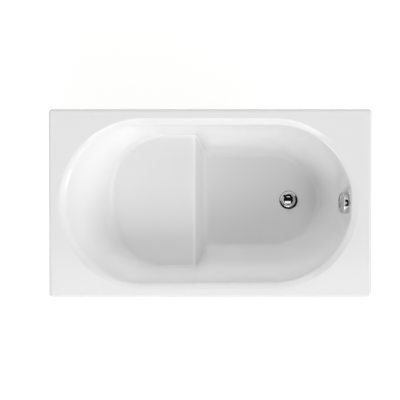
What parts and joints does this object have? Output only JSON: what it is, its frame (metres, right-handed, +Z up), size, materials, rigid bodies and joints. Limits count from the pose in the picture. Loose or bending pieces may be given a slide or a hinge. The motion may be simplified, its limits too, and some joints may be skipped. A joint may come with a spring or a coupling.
{
  "type": "bathtub",
  "caption": "Sit-in bathtub for building in: rectangular rim, rounded basin with stepped seat, screw feet, pop-up waste and rotary overflow control",
  "frame": {"origin": "on the room floor under the middle of the rim", "axes": "+X along the tub towards the waste end, +Y across it to the wall side, +Z up"},
  "size_m": [1.2, 0.7, 0.6],
  "materials": {
    "acrylic": "polished white acrylic",
    "laminate": "rough sprayed glass fibre laminate",
    "chipboard": "raw chipboard",
    "batten_wood": "sawn softwood",
    "zinc_steel": "zinc-plated",
    "dark_plastic": "moulded, fine grain",
    "chrome": "polished",
    "seal_rubber": "matt",
    "pale_plastic": "natural acetal",
    "cable_sheath": "extruded sheath",
    "white_plastic": "moulded polypropylene"
  },
  "bodies": {
    "root": {"acrylic_shell": "acrylic", "fibreglass_backing": "laminate", "base_board": "chipboard", "seat_board": "chipboard", "batten_front": "batten_wood", "batten_rear": "batten_wood", "batten_seat_end": "batten_wood", "batten_waste_end": "batten_wood", "mid_rail": "zinc_steel", "end_rail": "zinc_steel", "seat_rail": "zinc_steel", "seat_post_front": "zinc_steel", "seat_post_rear": "zinc_steel", "rail_screws": "zinc_steel", "foot_nuts": "zinc_steel", "wall_brackets": "zinc_steel", "bracket_screws": "zinc_steel", "post_inserts": "dark_plastic", "rail_end_caps": "dark_plastic", "waste_body": "dark_plastic", "lever_cover": "dark_plastic", "overflow_body": "dark_plastic", "hose_clips": "dark_plastic", "trap_nut": "dark_plastic", "trap_cap": "dark_plastic", "waste_flange": "chrome", "overflow_flange": "chrome", "waste_top_seal": "seal_rubber", "waste_bottom_seal": "seal_rubber", "overflow_seal": "seal_rubber", "trap_washer": "seal_rubber", "control_cable": "cable_sheath", "overflow_hose": "white_plastic", "trap_body": "white_plastic"},
    "foot_seat_front": {"foot_rod_seat_front": "zinc_steel", "foot_pad_seat_front": "dark_plastic"},
    "foot_seat_rear": {"foot_rod_seat_rear": "zinc_steel", "foot_pad_seat_rear": "dark_plastic"},
    "foot_mid_front": {"foot_rod_mid_front": "zinc_steel", "foot_pad_mid_front": "dark_plastic"},
    "foot_mid_rear": {"foot_rod_mid_rear": "zinc_steel", "foot_pad_mid_rear": "dark_plastic"},
    "foot_end_front": {"foot_rod_end_front": "zinc_steel", "foot_pad_end_front": "dark_plastic"},
    "foot_end_rear": {"foot_rod_end_rear": "zinc_steel", "foot_pad_end_rear": "dark_plastic"},
    "control": {"control_knob": "chrome", "control_spindle": "pale_plastic"},
    "plug": {"plug_cap": "chrome", "plug_seal": "seal_rubber", "plug_stem": "pale_plastic"},
    "lever": {"lift_lever": "pale_plastic"}
  },
  "joints": [
    {"name": "foot_seat_front_height", "type": "slide", "parent": "root", "child": "foot_seat_front", "axis": [0, 0, 1], "range_m": [-0.02, 0.005]},
    {"name": "foot_seat_rear_height", "type": "slide", "parent": "root", "child": "foot_seat_rear", "axis": [0, 0, 1], "range_m": [-0.02, 0.005]},
    {"name": "foot_mid_front_height", "type": "slide", "parent": "root", "child": "foot_mid_front", "axis": [0, 0, 1], "range_m": [-0.02, 0.005]},
    {"name": "foot_mid_rear_height", "type": "slide", "parent": "root", "child": "foot_mid_rear", "axis": [0, 0, 1], "range_m": [-0.02, 0.005]},
    {"name": "foot_end_front_height", "type": "slide", "parent": "root", "child": "foot_end_front", "axis": [0, 0, 1], "range_m": [-0.02, 0.005]},
    {"name": "foot_end_rear_height", "type": "slide", "parent": "root", "child": "foot_end_rear", "axis": [0, 0, 1], "range_m": [-0.02, 0.005]},
    {"name": "control_turn", "type": "hinge", "parent": "root", "child": "control", "pos_m": [0.51348, 0, 0.534], "axis": [-0.979, 0, 0.204], "range_deg": [0, 80]},
    {"name": "plug_lift", "type": "slide", "parent": "root", "child": "plug", "axis": [0, 0, 1], "range_m": [0, 0.01]},
    {"name": "lever_swing", "type": "hinge", "parent": "root", "child": "lever", "pos_m": [0.3, 0, 0.124], "axis": [0, -1, 0], "range_deg": [0, 30.52]}
  ],
  "couplings": [
    {"joint": "control_turn", "follows": "plug_lift", "rad_per_m": 139.63},
    {"joint": "lever_swing", "follows": "plug_lift", "rad_per_m": 53.258}
  ]
}
